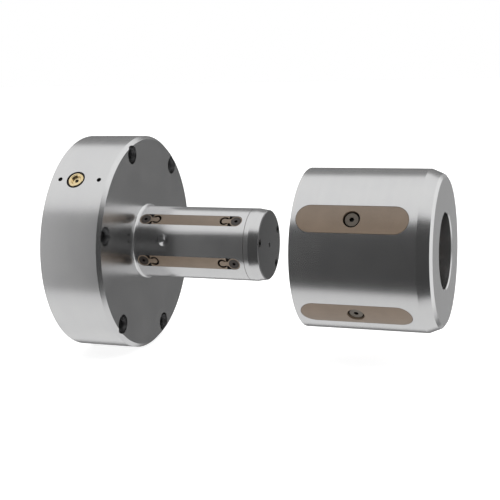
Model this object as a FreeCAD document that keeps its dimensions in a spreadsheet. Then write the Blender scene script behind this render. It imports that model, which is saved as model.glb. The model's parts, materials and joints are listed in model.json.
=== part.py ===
"""Expanding core chuck with its slide-on adapter sleeve, in millimetres.

The chuck is a flanged mandrel that is bolted to a machine by its back face. Air let in through the
rim valve pushes a piston towards the nose. The piston carries a drawbar with two cones, and the
cones lift five keys out of the mandrel, so that they grip the inside of a paper core. The adapter
sleeve slides over the mandrel for larger cores: its five pads rest on the keys and rise with them.

The origin is the centre of the flange's back face, +X runs along the axis to the nose, and +Z is up.
An angle round the axis is counted from -Y towards +Z.
"""
import FreeCAD, Part
import math
import os

import Sketcher
from FreeCAD import Placement, Rotation, Vector

doc = FreeCAD.newDocument("core_chuck")
sheet = doc.addObject("Spreadsheet::Sheet", "Sizes")

# Driving sizes: alias, value and meaning, one row of the sheet each
DRIVING_SIZES = [
    ("flange_radius", 103.9, "outside of the mounting flange"),
    ("flange_length", 60.8, "thickness of the flange"),
    ("flange_chamfer", 3.4, "chamfer on the flange's front edge"),
    ("neck_fillet", 3.2, "round between the flange and the mandrel"),
    ("bolt_circle_radius", 92.7, "circle of the mounting bolts"),
    ("bolt_count", 6, "mounting bolts"),
    ("bolt_phase", 12.3, "angle of the first mounting bolt"),
    ("bolt_hole_radius", 5.5, "clearance hole of an M10 bolt"),
    ("bolt_head_radius", 9.0, "counterbore of an M10 cap screw"),
    ("bolt_head_depth", 11.0, "depth of that counterbore"),
    ("mandrel_radius", 34.5, "outside of the mandrel, for 70 mm cores"),
    ("mandrel_length", 172.8, "back face to the seam of the nose cap"),
    ("mandrel_bore", 19.0, "radius of the bore that holds the cones"),
    ("cover_radius", 84.0, "recess for the rear cover"),
    ("cover_thickness", 12.0, "thickness of the rear cover"),
    ("spigot_radius", 25.0, "locating bore in the rear cover"),
    ("spigot_depth", 6.0, "depth of the locating bore"),
    ("cover_screw_circle", 77.0, "circle of the cover's screws"),
    ("cover_screw_count", 6, "screws in the rear cover"),
    ("stop_circle", 50.0, "circle of the piston stops"),
    ("stop_radius", 6.0, "a piston stop"),
    ("stop_count", 3, "piston stops"),
    ("cylinder_radius", 70.0, "bore of the air cylinder"),
    ("cylinder_wall", 10.0, "wall between the cylinder and the front face"),
    ("piston_start", 30.0, "back of the piston at rest"),
    ("piston_thickness", 12.0, "thickness of the piston"),
    ("piston_travel", 8.0, "stroke of the piston"),
    ("running_gap", 0.05, "radial gap of a running fit"),
    ("seat_gap", 0.3, "gap between pieces that rest on each other"),
    ("bush_wall", 3.0, "wall of the guide bush"),
    ("guide_bush_length", 11.0, "length of the guide bush"),
    ("journal_radius", 14.95, "drawbar where it runs in the guide bush"),
    ("neck_radius", 11.5, "drawbar between its cones"),
    ("tail_radius", 8.0, "drawbar where it runs in the nose"),
    ("cone_radius", 18.0, "large end of a cone"),
    ("cone_slope", 0.25, "rise of a cone for its length"),
    ("cone_length", 24.0, "length of a cone"),
    ("foot_margin", 6.9, "end of a key to its nearer wedge foot"),
    ("spring_wire", 1.2, "half the return spring's wire"),
    ("spring_radius", 24.0, "mean radius of the return spring"),
    ("spring_turns", 3.0, "turns of the return spring"),
    ("spring_pocket", 7.0, "depth of the spring's seat in the piston"),
    ("key_count", 5, "expanding keys, and pads on the sleeve"),
    ("key_phase", 48.7, "angle of the first key"),
    ("slot_start", 63.7, "first end of the key slots"),
    ("slot_end_wall", 4.1, "front end of the slots to the seam of the nose cap"),
    ("slot_width", 12.3, "width of the key slots"),
    ("slot_floor", 22.2, "distance of the slot's floor from the axis"),
    ("ledge_height", 31.0, "distance of the keeper's ledge from the axis"),
    ("key_end_gap", 7.45, "keeper screw to the end of the key"),
    ("side_gap", 0.1, "gap on each side of a key or pad"),
    ("foot_length", 14.0, "length of a key's wedge foot"),
    ("lobe_offset", 11.45, "keeper screw to the keeper's lobe"),
    ("lobe_radius", 2.8, "lobe at the keeper's tip"),
    ("lobe_pocket", 4.8, "round pocket in the key about the lobe"),
    ("lobe_floor", 25.5, "distance of that pocket's floor from the axis"),
    ("keeper_ring", 6.0, "outside of the keeper's ring"),
    ("keeper_recess", 0.4, "keepers below the mandrel's surface"),
    ("keeper_neck", 4.4, "width of the keeper's neck"),
    ("key_screw_head", 5.0, "head of a keeper's screw"),
    ("key_screw_sink", 31.4, "distance of that head's underside from the axis"),
    ("crown_edge", 33.7, "where the keys' crown is cut beside them"),
    ("seat_hole_x", 91.5, "conical seat for the sleeve's lock screw"),
    ("seat_hole_phase", 12.7, "angle of that seat"),
    ("seat_hole_radius", 5.75, "mouth of that seat"),
    ("seat_hole_depth", 7.0, "depth of that seat"),
    ("nose_length", 14.5, "length of the nose cap outside the mandrel"),
    ("nose_land", 4.7, "parallel part of the nose cap"),
    ("nose_radius", 32.95, "front face of the nose cap"),
    ("nose_edge", 0.7, "chamfer on the nose cap's front edge"),
    ("nose_plug", 12.5, "length of the nose cap inside the mandrel"),
    ("front_bush_radius", 11.0, "outside of the front bush"),
    ("nose_screw_circle", 27.7, "circle of the nose cap's screws"),
    ("nose_screw_phase", 12.7, "angle of the first nose screw"),
    ("nose_screw_head", 3.5, "head of a nose screw"),
    ("valve_x", 25.4, "air valve along the flange"),
    ("valve_phase", 42.4, "angle of the air valve"),
    ("valve_pocket", 9.15, "pocket round the air valve"),
    ("valve_pocket_depth", 2.0, "depth of that pocket"),
    ("valve_head", 7.3, "head of the air valve"),
    ("valve_shank", 6.0, "shank of the air valve"),
    ("valve_length", 13.5, "length of the valve's shank"),
    ("valve_travel", 1.5, "how far the valve's pin is pushed in"),
    ("rim_hole_offset_back", 16.1, "tapped rim hole behind the valve"),
    ("rim_hole_offset_front", 24.1, "tapped rim hole in front of the valve"),
    ("rim_hole_radius", 2.2, "tapped rim holes"),
    ("dot_circle", 44.5, "circle of the two pin holes in the flange's face"),
    ("dot_radius", 1.35, "pin holes in the flange's face"),
    ("sleeve_start", 229.6, "first end of the sleeve as it stands off the nose"),
    ("sleeve_tail", 20.05, "front end of the pads to the sleeve's front face"),
    ("sleeve_radius", 73.85, "outside of the sleeve, for 150 mm cores"),
    ("sleeve_bore", 34.7, "bore of the sleeve"),
    ("sleeve_relief", 37.2, "relieved bore between the sleeve's lands"),
    ("sleeve_land", 10.0, "length of the sleeve's first land"),
    ("relief_margin", 1.0, "last foot to the end of the relieved bore"),
    ("ring_inset", 3.0, "relief to a bore ring"),
    ("sleeve_taper", 12.75, "length of the lead-in taper"),
    ("sleeve_face", 68.5, "radius of the sleeve's front face"),
    ("sleeve_phase", 30.3, "angle of the first pad as the sleeve stands"),
    ("ring_section", 1.0, "section radius of the sleeve's bore rings"),
    ("pad_start", 5.0, "sleeve's first end to the pads"),
    ("pad_length", 100.0, "length of a pad"),
    ("pad_width", 25.3, "width of a pad"),
    ("pad_floor", 44.0, "distance of the pad pocket's floor from the axis"),
    ("pad_foot_length", 34.0, "length of a pad's foot"),
    ("pad_foot_inset", 4.0, "pad's end to its foot"),
    ("pad_gap", 0.3, "gap round a pad and its feet"),
    ("pad_crown_edge", 72.6, "where the pads' crown is cut beside them"),
    ("pad_bore", 7.7, "counterbore round the pad's screw"),
    ("pad_bore_floor", 56.0, "distance of that counterbore's floor from the axis"),
    ("pad_screw_head", 6.0, "head of the pad's shoulder screw"),
    ("pad_screw_top", 72.2, "distance of the head's top from the axis"),
    ("pad_screw_head_height", 5.0, "height of that head"),
    ("pad_shoulder", 4.0, "shoulder of that screw"),
    ("lock_screw_offset", 30.3, "sleeve's first end to its lock screw"),
    ("lock_screw_phase", 138.3, "angle of the lock screw as the sleeve stands"),
    ("lock_screw_radius", 5.0, "lock screw"),
    ("lock_screw_length", 20.0, "length of the lock screw"),
]


class Size:
    """A number together with the sheet expression that gives it."""

    def __init__(self, value, text=None):
        self.value = float(value)
        self.text = repr(float(value)) if text is None else text

    def __add__(self, other):
        return combine(self, "+", other)

    def __radd__(self, other):
        return combine(other, "+", self)

    def __sub__(self, other):
        return combine(self, "-", other)

    def __rsub__(self, other):
        return combine(other, "-", self)

    def __mul__(self, other):
        return combine(self, "*", other)

    def __rmul__(self, other):
        return combine(other, "*", self)

    def __truediv__(self, other):
        return combine(self, "/", other)

    def __rtruediv__(self, other):
        return combine(other, "/", self)

    def __neg__(self):
        return combine(0, "-", self)


OPERATIONS = {
    "+": lambda a, b: a + b,
    "-": lambda a, b: a - b,
    "*": lambda a, b: a * b,
    "/": lambda a, b: a / b,
}


def as_size(thing):
    """A plain number as a Size, and a Size as it is."""
    return thing if isinstance(thing, Size) else Size(thing)


def combine(first, sign, second):
    """The sum, difference, product or ratio of two sizes."""
    first, second = as_size(first), as_size(second)
    value = OPERATIONS[sign](first.value, second.value)
    return Size(value, f"({first.text} {sign} {second.text})")


def cosine(angle):
    """Cosine of an angle in degrees."""
    angle = as_size(angle)
    return Size(math.cos(math.radians(angle.value)), f"cos({angle.text} * 1 deg)")


def sine(angle):
    """Sine of an angle in degrees."""
    angle = as_size(angle)
    return Size(math.sin(math.radians(angle.value)), f"sin({angle.text} * 1 deg)")


class Sizes:
    """The driving sizes by name, each written once in the sheet."""

    def __init__(self):
        for row, (alias, value, meaning) in enumerate(DRIVING_SIZES, start=1):
            sheet.set(f"A{row}", alias)
            sheet.set(f"B{row}", str(value))
            sheet.set(f"C{row}", meaning)
            sheet.setAlias(f"B{row}", alias)
            setattr(self, alias, Size(value, f"Sizes.{alias}"))
        doc.recompute()


s = Sizes()
KEY_COUNT = int(s.key_count.value)
COVER_SCREW_COUNT = int(s.cover_screw_count.value)
COIL_LENGTHS = 12  # straight lengths in one turn of a spring
WIRE_SIDES = 6  # sides of a spring's wire


# Helpers that bind an object's properties to the sheet

def bind(thing, path, size):
    """Set one property of an object by a sheet expression."""
    thing.setExpression(path, as_size(size).text)


def bind_all(thing, **sizes):
    """Set several properties of an object, such as Radius and Height."""
    for path, size in sizes.items():
        setattr(thing, path, as_size(size).value)
        bind(thing, path, size)


def place(thing, base, axis=(1, 0, 0), angle=0, path="Placement"):
    """Put an object at a base point, turned by an angle about an axis."""
    base = [as_size(part) for part in base]
    angle = as_size(angle)
    setattr(thing, path, Placement(Vector(*[part.value for part in base]),
                                   Rotation(Vector(*axis), angle.value)))
    for letter, part in zip("xyz", base):
        bind(thing, f"{path}.Base.{letter}", part)
    bind(thing, f"{path}.Rotation.Angle", angle)


def place_radial(thing, x, distance, angle, path="Placement"):
    """Stand an object's own Z axis outwards, at an angle round the axis."""
    base = (x, -(distance * cosine(angle)), distance * sine(angle))
    place(thing, base, (1, 0, 0), 90 - as_size(angle), path)


def place_axial(thing, x, distance, angle, forwards=True):
    """Point an object's own Z axis along the axis, off centre by a distance."""
    base = (x, -(distance * cosine(angle)), distance * sine(angle))
    place(thing, base, (0, 1, 0), 90 if forwards else -90)


def key_angle(index):
    """Angle of a key round the mandrel."""
    return s.key_phase + index * 360 / s.key_count


def pad_angle(index):
    """Angle of a pad round the sleeve as it stands."""
    return s.sleeve_phase + index * 360 / s.key_count


# Helpers for sketched bodies

def new_body(label):
    """An empty body with its label."""
    thing = doc.addObject("PartDesign::Body", label)
    thing.Label = label
    return thing


def origin_feature(thing, role):
    """One of the body's own origin planes or axes."""
    return next(feature for feature in thing.Origin.OriginFeatures if feature.Role == role)


def new_sketch(thing, plane="XY_Plane"):
    """A sketch on one of the body's origin planes."""
    drawing = thing.newObject("Sketcher::SketchObject", f"{thing.Name}_sketch")
    drawing.AttachmentSupport = [(origin_feature(thing, plane), "")]
    drawing.MapMode = "FlatFace"
    return drawing


def hold_point(drawing, edge, end, x, y):
    """Hold a sketch point by its distances from the sketch's origin."""
    for kind, size, axis in (("DistanceX", as_size(x), -2), ("DistanceY", as_size(y), -1)):
        if size.value == 0:
            drawing.addConstraint(Sketcher.Constraint("PointOnObject", edge, end, axis))
            continue
        index = drawing.addConstraint(Sketcher.Constraint(kind, -1, 1, edge, end, size.value))
        bind(drawing, f"Constraints[{index}]", size)


def draw_outline(drawing, corners):
    """Draw a closed outline through corners, given as x, y or as x, y, radius, turn.

    A radius makes the edge that arrives at the corner an arc: turn is 1 for an arc that runs
    anticlockwise and -1 for one that runs clockwise.
    """
    points = [Vector(as_size(c[0]).value, as_size(c[1]).value, 0) for c in corners]
    ends = []
    for number, corner in enumerate(corners):
        start, stop = points[number - 1], points[number]
        if len(corner) == 2:
            edge = drawing.addGeometry(Part.LineSegment(start, stop))
            ends.append((edge, 1, 2))
            continue
        radius, turn = as_size(corner[2]), corner[3]
        chord = stop - start
        height = math.sqrt(max(radius.value ** 2 - (chord.Length / 2) ** 2, 0))
        across = Vector(-chord.y, chord.x, 0).normalize() * (height * turn)
        centre = (start + stop) * 0.5 + across
        first, last = (start, stop) if turn > 0 else (stop, start)
        angles = [math.atan2(p.y - centre.y, p.x - centre.x) for p in (first, last)]
        circle = Part.Circle(centre, Vector(0, 0, 1), radius.value)
        edge = drawing.addGeometry(Part.ArcOfCircle(circle, angles[0], angles[1]))
        index = drawing.addConstraint(Sketcher.Constraint("Radius", edge, radius.value))
        bind(drawing, f"Constraints[{index}]", radius)
        ends.append((edge, 1, 2) if turn > 0 else (edge, 2, 1))
    for number, corner in enumerate(corners):
        edge, _, stop = ends[number]
        following, start, _ = ends[(number + 1) % len(ends)]
        drawing.addConstraint(Sketcher.Constraint("Coincident", edge, stop, following, start))
        hold_point(drawing, edge, stop, corner[0], corner[1])


def draw_stadium(drawing, start, end, width):
    """Draw a slot outline with round ends, along X."""
    half = width / 2
    draw_outline(drawing, [
        (end - half, -half),
        (end, Size(0), half, 1),
        (end - half, half, half, 1),
        (start + half, half),
        (start, Size(0), half, 1),
        (start + half, -half, half, 1),
    ])


def draw_box(drawing, start, end, width):
    """Draw a rectangle along X."""
    half = width / 2
    draw_outline(drawing, [(start, -half), (end, -half), (end, half), (start, half)])


def draw_circle(drawing, x, y, radius):
    """Draw a circle."""
    centre = Vector(as_size(x).value, as_size(y).value, 0)
    edge = drawing.addGeometry(Part.Circle(centre, Vector(0, 0, 1), as_size(radius).value))
    index = drawing.addConstraint(Sketcher.Constraint("Radius", edge, as_size(radius).value))
    bind(drawing, f"Constraints[{index}]", radius)
    hold_point(drawing, edge, 3, x, y)


def turn_about_axis(thing, corners):
    """Turn an outline of x and radius about the X axis."""
    drawing = new_sketch(thing)
    draw_outline(drawing, corners)
    feature = thing.newObject("PartDesign::Revolution", f"{thing.Name}_turned")
    feature.Profile = drawing
    feature.ReferenceAxis = (drawing, ["H_Axis"])
    feature.Angle = 360
    return feature


def turn_upright(thing, corners):
    """Turn an outline of radius and height about the body's own Z axis."""
    drawing = new_sketch(thing, "XZ_Plane")
    draw_outline(drawing, corners)
    feature = thing.newObject("PartDesign::Revolution", f"{thing.Name}_turned")
    feature.Profile = drawing
    feature.ReferenceAxis = (drawing, ["V_Axis"])
    feature.Angle = 360
    return feature


def extrude(thing, kind, drawing, length):
    """Pad a sketch along its normal, or pocket it against its normal."""
    feature = thing.newObject(f"PartDesign::{kind}", f"{thing.Name}_{kind}")
    feature.Profile = drawing
    bind_all(feature, Length=length)
    return feature


def mill_radially(thing, draw, start, end, width, top, bottom, angle):
    """Cut a stadium or rectangle inwards, from one distance off the axis to another."""
    drawing = new_sketch(thing)
    place_radial(drawing, 0, top, angle, "AttachmentOffset")
    draw(drawing, start, end, width)
    return extrude(thing, "Pocket", drawing, top - bottom)


def drill_radially(thing, x, top, bottom, radius, angle, tip_radius=None):
    """Drill or countersink towards the axis, from one distance off it to another."""
    kind = "SubtractiveCylinder" if tip_radius is None else "SubtractiveCone"
    feature = thing.newObject(f"PartDesign::{kind}", f"{thing.Name}_drilled")
    feature.AttachmentSupport = [(origin_feature(thing, "XY_Plane"), "")]
    feature.MapMode = "FlatFace"
    place_radial(feature, x, bottom, angle, "AttachmentOffset")
    bind_all(feature, Height=top - bottom)
    if tip_radius is None:
        bind_all(feature, Radius=radius)
    else:
        bind_all(feature, Radius1=tip_radius, Radius2=radius)
    return feature


def drill_along(thing, start, length, circle_radius, angle, radius):
    """Drill a hole along the axis, off centre, backwards from its front end."""
    drawing = new_sketch(thing, "YZ_Plane")
    place(drawing, (0, 0, start + length), path="AttachmentOffset")
    y, z = -(circle_radius * cosine(angle)), circle_radius * sine(angle)
    draw_circle(drawing, y, z, radius)
    return extrude(thing, "Pocket", drawing, length)


def repeat_round(thing, features, count):
    """Repeat features evenly round the X axis."""
    pattern = thing.newObject("PartDesign::PolarPattern", f"{thing.Name}_pattern")
    pattern.Originals = features
    pattern.Axis = (origin_feature(thing, "X_Axis"), [""])
    pattern.Angle = 360
    pattern.Occurrences = int(count.value)
    bind(pattern, "Occurrences", count)
    thing.Tip = pattern
    return pattern


# Helpers for pieces made of primitives

def cylinder(radius, height, base=(0, 0, 0)):
    """A cylinder that stands on its base point."""
    thing = doc.addObject("Part::Cylinder", "cylinder")
    bind_all(thing, Radius=radius, Height=height)
    place(thing, base)
    return thing


def axis_cylinder(radius, start, length):
    """A cylinder along the X axis."""
    thing = doc.addObject("Part::Cylinder", "cylinder")
    bind_all(thing, Radius=radius, Height=length)
    place(thing, (start, 0, 0), (0, 1, 0), 90)
    return thing


def cone(lower, upper, height, base=(0, 0, 0)):
    """A cone that stands on its base point."""
    thing = doc.addObject("Part::Cone", "cone")
    bind_all(thing, Radius1=lower, Radius2=upper, Height=height)
    place(thing, base)
    return thing


def box(length, width, height, base):
    """A box from its corner."""
    thing = doc.addObject("Part::Box", "box")
    bind_all(thing, Length=length, Width=width, Height=height)
    place(thing, base)
    return thing


def ring(middle_radius, section_radius, x):
    """A torus about the X axis."""
    thing = doc.addObject("Part::Torus", "ring")
    bind_all(thing, Radius1=middle_radius, Radius2=section_radius)
    place(thing, (x, 0, 0), (0, 1, 0), 90)
    return thing


def hexagon(across_flats, height, base):
    """A hexagonal prism that stands on its base point."""
    thing = doc.addObject("Part::Prism", "hexagon")
    thing.Polygon = 6
    bind_all(thing, Circumradius=across_flats / (2 * cosine(30)), Height=height)
    place(thing, base)
    return thing


def fuse(parts):
    """Several shapes joined into one solid."""
    thing = doc.addObject("Part::MultiFuse", "joined")
    thing.Shapes = parts
    thing.Refine = True
    return thing


def cut(base, tool):
    """A shape with another cut away."""
    thing = doc.addObject("Part::Cut", "cut")
    thing.Base, thing.Tool = base, tool
    return thing


def common(first, second):
    """What two shapes share."""
    thing = doc.addObject("Part::Common", "shared")
    thing.Base, thing.Tool = first, second
    return thing


def group(label, parts):
    """Separate solids under one label."""
    thing = doc.addObject("Part::Compound", label)
    thing.Links = parts
    thing.Label = label
    return thing


def named(thing, label):
    """Give a finished piece its label."""
    thing.Label = label
    return thing


def cap_screw(head_radius, head_height, shank_radius, shank_length, socket):
    """A screw with a round head whose top is at its origin, pointing down."""
    head = cylinder(head_radius, head_height, (0, 0, -head_height))
    shank = cylinder(shank_radius, shank_length, (0, 0, -(head_height + shank_length)))
    recess = hexagon(socket, head_height * 0.6, (0, 0, -(head_height * 0.6)))
    return cut(fuse([head, shank]), recess)


def flat_screw(head_radius, shank_radius, length, socket):
    """A countersunk screw whose flat top is at its origin, pointing down."""
    depth = head_radius - shank_radius
    head = cone(shank_radius, head_radius, depth, (0, 0, -depth))
    shank = cylinder(shank_radius, length - depth, (0, 0, -length))
    recess = hexagon(socket, depth * 0.8, (0, 0, -(depth * 0.8)))
    return cut(fuse([head, shank]), recess)


# Places that several pieces share

slot_end = s.mandrel_length - s.slot_end_wall
key_screw_back = s.slot_start + s.slot_width / 2
key_screw_front = slot_end - s.slot_width / 2
key_start = key_screw_back + s.key_end_gap
key_end = key_screw_front - s.key_end_gap
cylinder_end = s.flange_length - s.cylinder_wall
piston_end = s.piston_start + s.piston_thickness
guide_bush_end = cylinder_end + s.guide_bush_length
guide_bush_radius = s.journal_radius + s.running_gap + s.bush_wall
feet_x = [
    key_start + s.foot_margin + s.foot_length / 2,
    key_end - s.foot_margin - s.foot_length / 2,
]
nose_face_x = s.mandrel_length + s.nose_length
nose_plug_start = s.mandrel_length - s.nose_plug
nose_screw_circle = s.nose_screw_circle
nose_screw_angles = [s.nose_screw_phase + turns * 360 / s.key_count for turns in (0, 2, 3)]
nose_screw_head_depth = s.nose_screw_head * 1.25
nose_screw_length = 18
valve_shank_end = s.flange_radius - s.valve_pocket_depth - s.valve_length
pad_middle = s.sleeve_start + s.pad_start + s.pad_length / 2
pad_foot_starts = [
    s.sleeve_start + s.pad_start + s.pad_foot_inset,
    s.sleeve_start + s.pad_start + s.pad_length - s.pad_foot_inset - s.pad_foot_length,
]
relief_end = pad_foot_starts[1] + s.pad_foot_length + s.relief_margin
sleeve_length = s.pad_start + s.pad_length + s.sleeve_tail
ring_places = [s.sleeve_start + s.sleeve_land - s.ring_inset, relief_end + s.ring_inset]
lock_screw_x = s.sleeve_start + s.lock_screw_offset


def make_mandrel():
    """Flange and mandrel, turned from one bar, with the air cylinder in the flange."""
    thing = new_body("mandrel")
    chamfer, fillet = s.flange_chamfer, s.neck_fillet
    turn_about_axis(thing, [
        (Size(0), s.cover_radius),
        (Size(0), s.flange_radius),
        (s.flange_length - chamfer, s.flange_radius),
        (s.flange_length, s.flange_radius - chamfer),
        (s.flange_length, s.mandrel_radius + fillet),
        (s.flange_length + fillet, s.mandrel_radius, fillet, 1),
        (s.mandrel_length, s.mandrel_radius),
        (s.mandrel_length, s.mandrel_bore),
        (guide_bush_end, s.mandrel_bore),
        (guide_bush_end, guide_bush_radius),
        (cylinder_end, guide_bush_radius),
        (cylinder_end, s.cylinder_radius),
        (s.cover_thickness, s.cylinder_radius),
        (s.cover_thickness, s.cover_radius),
    ])
    head_start = s.flange_length - s.bolt_head_depth
    bolt_place = (s.bolt_circle_radius, s.bolt_phase)
    bolt_holes = [
        drill_along(thing, Size(0), s.flange_length, *bolt_place, s.bolt_hole_radius),
        drill_along(thing, head_start, s.bolt_head_depth, *bolt_place, s.bolt_head_radius),
    ]
    repeat_round(thing, bolt_holes, s.bolt_count)
    cover_screw_hole = drill_along(thing, s.cover_thickness, 12, s.cover_screw_circle,
                                   s.bolt_phase, 2.5)
    repeat_round(thing, [cover_screw_hole], s.cover_screw_count)

    top = s.mandrel_radius + 2
    angle = key_angle(0)
    window = s.foot_length + 2
    slots = [
        mill_radially(thing, draw_stadium, s.slot_start, slot_end, s.slot_width, top,
                      s.ledge_height, angle),
        mill_radially(thing, draw_box, key_start - s.seat_gap, key_end + s.seat_gap,
                      s.slot_width, top, s.slot_floor, angle),
    ]
    for middle in feet_x:
        slots.append(mill_radially(thing, draw_box, middle - window / 2, middle + window / 2,
                                   s.slot_width, top, s.mandrel_bore / 2, angle))
    for x in (key_screw_back, key_screw_front):
        slots.append(drill_radially(thing, x, top, s.ledge_height - 9, 2.5, angle))
    repeat_round(thing, slots, s.key_count)

    straight = s.seat_hole_depth - s.seat_hole_radius * 0.7
    cone_top = s.mandrel_radius - straight
    seat = (s.seat_hole_x, s.seat_hole_phase)
    drill_radially(thing, seat[0], top, cone_top, s.seat_hole_radius, seat[1])
    drill_radially(thing, seat[0], cone_top, s.mandrel_radius - s.seat_hole_depth,
                   s.seat_hole_radius, seat[1], Size(0.3))

    for screw_angle in nose_screw_angles:
        drill_along(thing, s.mandrel_length - 10, Size(10), nose_screw_circle, screw_angle, 2)
    for offset in (-3.8, 4.8):
        drill_along(thing, s.flange_length - 6, Size(6), s.dot_circle,
                    s.seat_hole_phase + offset, s.dot_radius)

    rim = s.flange_radius + 2
    valve_floor = s.flange_radius - s.valve_pocket_depth
    drill_radially(thing, s.valve_x, rim, valve_floor, s.valve_pocket, s.valve_phase)
    drill_radially(thing, s.valve_x, rim, valve_shank_end, s.valve_shank, s.valve_phase)
    drill_radially(thing, s.valve_x, rim, s.cylinder_radius - 4, 2.5, s.valve_phase)
    for x in (s.valve_x - s.rim_hole_offset_back, s.valve_x + s.rim_hole_offset_front):
        last = drill_radially(thing, x, rim, s.flange_radius - 10, s.rim_hole_radius, s.valve_phase)
    thing.Tip = last
    return thing


def make_rear_cover():
    """Plate that closes the air cylinder, with the locating bore and three piston stops."""
    thing = new_body("rear_cover")
    rim = s.cover_radius - s.running_gap
    groove = s.cover_thickness / 2
    turn_about_axis(thing, [
        (Size(0), s.spigot_radius),
        (Size(0), rim),
        (groove - 1.7, rim),
        (groove - 1.7, rim - 3),
        (groove + 1.7, rim - 3),
        (groove + 1.7, rim),
        (s.cover_thickness, rim),
        (s.cover_thickness, Size(0)),
        (s.spigot_depth, Size(0)),
        (s.spigot_depth, s.spigot_radius),
    ])
    hole = drill_along(thing, Size(0), s.cover_thickness, s.cover_screw_circle, s.bolt_phase, 2.6)
    countersink = thing.newObject("PartDesign::SubtractiveCone", "countersink")
    countersink.AttachmentSupport = [(origin_feature(thing, "XY_Plane"), "")]
    countersink.MapMode = "FlatFace"
    y, z = -(s.cover_screw_circle * cosine(s.bolt_phase)), s.cover_screw_circle * sine(s.bolt_phase)
    place(countersink, (0, y, z), (0, 1, 0), 90, "AttachmentOffset")
    bind_all(countersink, Radius1=5.1, Radius2=2.5, Height=2.6)
    repeat_round(thing, [hole, countersink], s.cover_screw_count)
    stop_length = s.piston_start - s.seat_gap - s.cover_thickness
    drawing = new_sketch(thing, "YZ_Plane")
    place(drawing, (0, 0, s.cover_thickness), path="AttachmentOffset")
    draw_circle(drawing, s.stop_circle, 0, s.stop_radius)
    stop = extrude(thing, "Pad", drawing, stop_length)
    repeat_round(thing, [stop], s.stop_count)
    return thing


def make_cover_ring():
    """O-ring round the rear cover."""
    floor = s.cover_radius - s.running_gap - 3
    section = (s.cover_radius - floor) / 2 - 0.02
    return named(ring(floor + section + 0.01, section, s.cover_thickness / 2), "cover_o_ring")


def make_cover_screws():
    """Countersunk screws of the rear cover."""
    screws = []
    for index in range(COVER_SCREW_COUNT):
        screw = flat_screw(5, 2.45, 22, 3)
        angle = s.bolt_phase + index * 360 / s.cover_screw_count
        place_axial(screw, Size(0.1), s.cover_screw_circle, angle, forwards=False)
        screws.append(screw)
    return group("cover_screws", screws)


def make_guide_bush():
    """Bronze bush that guides the drawbar, with a groove for its seal."""
    thing = new_body("guide_bush")
    bore = s.journal_radius + s.running_gap
    middle = (cylinder_end + guide_bush_end) / 2
    turn_about_axis(thing, [
        (cylinder_end, bore),
        (cylinder_end, guide_bush_radius - s.running_gap),
        (guide_bush_end, guide_bush_radius - s.running_gap),
        (guide_bush_end, bore),
        (middle + 1.3, bore),
        (middle + 1.3, bore + 1.9),
        (middle - 1.3, bore + 1.9),
        (middle - 1.3, bore),
    ])
    return thing


def make_drawbar_seal():
    """O-ring in the guide bush."""
    bore = s.journal_radius + s.running_gap
    return named(ring(bore + 0.95, 0.93, (cylinder_end + guide_bush_end) / 2), "drawbar_seal")


def make_front_bush():
    """Bronze bush in the nose cap that guides the drawbar's tail."""
    thing = new_body("front_bush")
    turn_about_axis(thing, [
        (nose_plug_start, s.tail_radius + s.running_gap),
        (nose_plug_start, s.front_bush_radius - s.running_gap),
        (s.mandrel_length, s.front_bush_radius - s.running_gap),
        (s.mandrel_length, s.tail_radius + s.running_gap),
    ])
    return thing


def make_nose_cap():
    """Tapered cap on the end of the mandrel, with its plug in the mandrel's bore."""
    thing = new_body("nose_cap")
    x = s.mandrel_length
    taper = (s.mandrel_radius - s.nose_radius) / (s.nose_length - s.nose_land)
    turn_about_axis(thing, [
        (nose_plug_start, s.front_bush_radius),
        (nose_plug_start, s.mandrel_bore - s.running_gap),
        (x, s.mandrel_bore - s.running_gap),
        (x, s.mandrel_radius),
        (x + s.nose_land, s.mandrel_radius),
        (nose_face_x - s.nose_edge, s.nose_radius + taper * s.nose_edge),
        (nose_face_x, s.nose_radius - s.nose_edge),
        (nose_face_x, Size(2)),
        (nose_face_x - 2.5, Size(2)),
        (nose_face_x - 3.7, Size(0)),
        (x + s.piston_travel, Size(0)),
        (x + s.piston_travel, s.tail_radius + 1),
        (x, s.tail_radius + 1),
        (x, s.front_bush_radius),
    ])
    last = None
    for angle in nose_screw_angles:
        drill_along(thing, x, s.nose_length, nose_screw_circle, angle, 2.2)
        last = drill_along(thing, nose_face_x - nose_screw_head_depth, nose_screw_head_depth,
                           nose_screw_circle, angle, s.nose_screw_head + 0.2)
    thing.Tip = last
    return thing


def make_nose_screws():
    """Cap screws of the nose cap, sunk into its face."""
    screws = []
    for angle in nose_screw_angles:
        head_height = nose_screw_head_depth - s.seat_gap
        screw = cap_screw(s.nose_screw_head, head_height, 1.95, nose_screw_length - head_height, 3)
        place_axial(screw, nose_face_x - s.seat_gap, nose_screw_circle, angle)
        screws.append(screw)
    return group("nose_screws", screws)


def make_valve_body():
    """Brass air valve in the flange's rim."""
    shank_top = s.flange_radius - s.valve_pocket_depth
    thing = new_body("valve_body")
    rim = s.flange_radius - 0.1
    shank = s.valve_shank - s.running_gap
    turn_upright(thing, [
        (Size(3.5), valve_shank_end),
        (shank, valve_shank_end),
        (shank, shank_top),
        (s.valve_head, shank_top),
        (s.valve_head, rim - 0.5),
        (s.valve_head - 0.5, rim),
        (Size(1.8), rim),
        (Size(1.8), shank_top - 3),
        (Size(3.5), shank_top - 3),
    ])
    place_radial(thing, s.valve_x, Size(0), s.valve_phase)
    return thing


def make_valve_seal():
    """Black washer under the valve's head."""
    floor = s.flange_radius - s.valve_pocket_depth
    outside = cylinder(s.valve_pocket - s.running_gap, 1.4, (0, 0, floor))
    inside = cylinder(s.valve_head + s.running_gap, 1.4, (0, 0, floor))
    thing = named(cut(outside, inside), "valve_seal")
    place_radial(thing, s.valve_x, Size(0), s.valve_phase)
    return thing


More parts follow.
